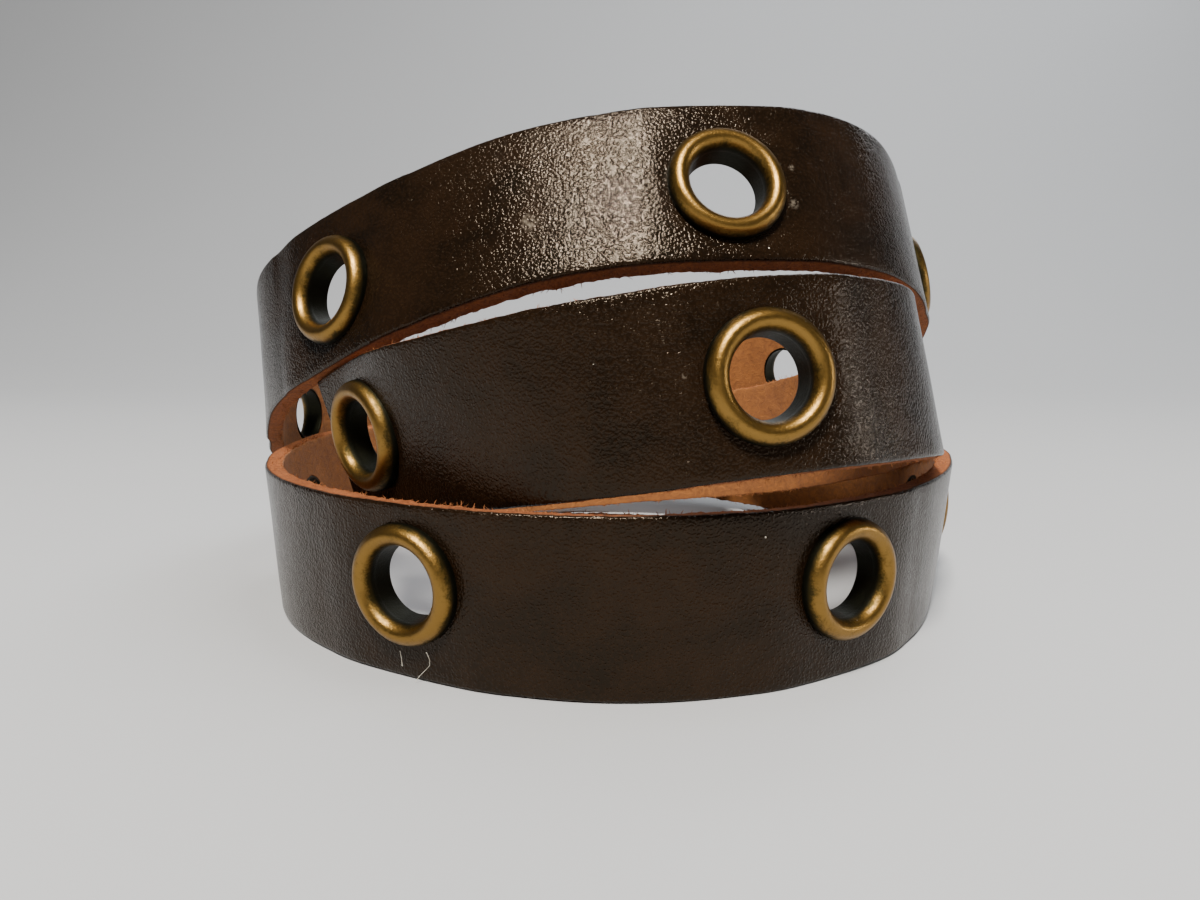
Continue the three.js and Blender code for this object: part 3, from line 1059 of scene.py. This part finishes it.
def aged_brass(name, grain):
    made, tree, surface = new_material(name)
    place = scaled(tree, add(tree, "TexCoord").outputs["Object"], (1000, 1000, 1000))
    rubbed_and_shaded = add(tree, "Attribute", {"attribute_name": "rubbed_and_shaded"}).outputs["Fac"]
    patina = use_group(tree, tarnish, Place=place, Rubbed=rubbed_and_shaded)
    specks = use_group(tree, dust, Place=place, Spacing=1.7, Size=0.06)
    faint = maths(tree, "MULTIPLY", specks["Mask"], 0.5)
    colour = mix_colour(tree, faint, patina["Color"], (0.6, 0.52, 0.36, 1))
    connect(tree, surface["Base Color"], colour)
    connect(tree, surface["Roughness"], patina["Roughness"])
    surface["Metallic"].default_value = 1.0
    bump = add(tree, "Bump", Height=patina["Height"], Distance=grain * MM, Strength=1.0)
    connect(tree, surface["Normal"], bump.outputs[0])
    return made


eyelet_brass = aged_brass("aged_eyelet_brass", 0.006)
post_brass = aged_brass("aged_post_brass", 0.008)

# %% The hair's finish
hair_finish, tree, surface = new_material("pale_hair")
place = scaled(tree, add(tree, "TexCoord").outputs["Object"], (1000, 1000, 1000))
banding = use_group(tree, blotches, Place=place, Size=0.6, Hardness=0.3)
colour = mix_colour(tree, banding["Mask"], (0.42, 0.38, 0.30, 1), (0.75, 0.72, 0.64, 1))
connect(tree, surface["Base Color"], colour)
surface["Roughness"].default_value = 0.5

# %% [markdown]
# ## Putting the finishes on
#
# The strap has three finishes. Each face gets the one for its depth: the outer face and its
# worn corner are skin, the deepest faces are suede, and all between them is cut.

# %% Finishes on the strap
for finish in (outer_face, inner_face, cut_edge):
    strap.data.materials.append(finish)
OUTER, INNER, CUT = 0, 1, 2
face_corners = [list(face.vertices) for face in strap.data.polygons]
face_finish = []
for corners in face_corners:
    share = flat[corners]
    depth = share[:, 2].mean()
    spread = np.ptp(share[:, 2])
    if depth > -0.17 and spread < 0.2:
        face_finish.append(OUTER)
    elif depth < -THICKNESS + 0.08 and spread < 0.12:
        face_finish.append(INNER)
    else:
        face_finish.append(CUT)
strap.data.polygons.foreach_set("material_index", face_finish)
print("faces by finish:", np.bincount(face_finish))

# %% Finishes on the rest, and smooth shading
for piece, finish in [
    (cut_edge_fibres, loose_fibre),
    (post, post_brass),
    *[(hair, hair_finish) for hair in hairs],
    *[(ring, eyelet_brass) for ring in brass_rings],
]:
    piece.data.materials.append(finish)
for piece, angle in [
    (strap, 50),
    (post, 35),
    *[(hair, 60) for hair in hairs],
    *[(ring, 50) for ring in brass_rings],
]:
    bpy.ops.object.select_all(action="DESELECT")
    piece.select_set(True)
    bpy.context.view_layer.objects.active = piece
    bpy.ops.object.shade_smooth_by_angle(angle=math.radians(angle))

# %% [markdown]
# ## Handing the pieces to the frame
#
# Each new piece stands for a CAD node and rides on the one body there is. Nothing on this
# bracelet has a joint: the strap is soft and the post only holds.

# %% Ride and replace
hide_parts("strap")
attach(strap, "root")
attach(cut_edge_fibres, "root")
for hair in hairs:
    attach(hair, "root")
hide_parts("closing_post")
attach(post, "root")
for ring, seat in zip(brass_rings, seats):
    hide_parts(seat["name"])
    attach(ring, "root")

# %% [markdown]
# ## The studio
#
# A pale sweep of board stands in for a table: floor and wall are one sheet with a round fold
# between them, so no line shows behind the bracelet. The main light is a soft box up in front,
# a little to the left. A narrow strip on the right puts a glint on the middle turn, a wide box
# behind draws the rims, and another overhead lights the board. The room itself is dim.

# %% The sweep
BOARD, WALL, FOLD = 1.4, 1.2, 0.5  # the floor's side, the wall's height, and the fold's reach
FAR = 0.6  # only the wall and its foot lie behind this

sweep = start("studio_sweep", bpy.ops.mesh.primitive_plane_add, size=BOARD)
edit(True)
pick(sweep, "EDGE", lambda e: all(v.co.y > FAR for v in e.verts))
bpy.ops.mesh.extrude_region_move(TRANSFORM_OT_translate={"value": (0, 0, WALL)})
pick(sweep, "EDGE", lambda e: all(v.co.y > FAR and v.co.z < 0.1 for v in e.verts))
bpy.ops.mesh.bevel(offset=FOLD, segments=32)
edit(False)
bpy.ops.object.shade_smooth()
board, tree, surface = new_material("pale_board")
place = add(tree, "TexCoord").outputs["Object"]
tone = use_group(tree, blotches, Place=place, Size=0.8, Hardness=0.0)
colour = mix_colour(tree, tone["Mask"], (0.375, 0.38, 0.39, 1), (0.405, 0.41, 0.42, 1))
connect(tree, surface["Base Color"], colour)
surface["Roughness"].default_value = 0.85
sweep.data.materials.append(board)

# %% Lights
MIDDLE = Vector((0, 0, 0.02))  # what the lights are turned to


def soft_box(name, direction, distance, size, power, colour):
    """A rectangular light in a direction from the bracelet, turned to face it."""
    lamp = bpy.data.lights.new(name, "AREA")
    lamp.shape = "RECTANGLE"
    lamp.size, lamp.size_y = size
    lamp.energy = power
    lamp.color = colour
    held = bpy.data.objects.new(name, lamp)
    direction = Vector(direction).normalized()
    held.location = MIDDLE + direction * distance
    held.rotation_euler = direction.to_track_quat("Z", "Y").to_euler()
    bpy.context.scene.collection.objects.link(held)
    return held


# name, direction, distance, size, power, colour
soft_box("main_light", (-0.125, -0.545, 0.83), 0.55, (0.10, 0.12), 7.6, (1.0, 0.95, 0.87))
soft_box("side_strip", (0.977, -0.149, 0.15), 0.5, (0.03, 0.09), 0.45, (1.0, 0.96, 0.90))
soft_box("back_light", (0.35, 0.8, 0.6), 0.8, (0.5, 0.4), 2.0, (0.92, 0.96, 1.0))
wall_wash = soft_box("wall_wash", (0.30, 0.12, 0.94), 0.9, (0.9, 0.5), 7.0, (0.94, 0.97, 1.0))
wall_wash.visible_glossy = False  # it lights the board and draws nothing on the leather
room = bpy.data.worlds.new("room")
room.use_nodes = True
room.node_tree.nodes["Background"].inputs["Color"].default_value = (0.84, 0.86, 0.90, 1)
room.node_tree.nodes["Background"].inputs["Strength"].default_value = 0.11
bpy.context.scene.world = room

# %% Camera
EYE = (-0.482, -95.527, 25.73)
PITCH, YAW, ROLL = math.radians(8.302), math.radians(0.535), math.radians(0.107)
SENSOR, FOCAL_LENGTH = 36, 28.442
forward = Vector((
    math.sin(YAW) * math.cos(PITCH),
    math.cos(YAW) * math.cos(PITCH),
    -math.sin(PITCH),
))
level_right = Vector((math.cos(YAW), -math.sin(YAW), 0))
level_up = level_right.cross(forward)
right = level_right * math.cos(ROLL) + level_up * math.sin(ROLL)
up = level_up * math.cos(ROLL) - level_right * math.sin(ROLL)
lens = bpy.data.cameras.new("camera")
lens.sensor_width = SENSOR
lens.lens = FOCAL_LENGTH
lens.clip_start, lens.clip_end = 0.003, 20
camera = bpy.data.objects.new("camera", lens)
turned = Matrix((right, up, -forward)).transposed().to_4x4()
camera.matrix_world = Matrix.Translation(Vector(EYE) * MM) @ turned
bpy.context.scene.collection.objects.link(camera)
bpy.context.scene.camera = camera
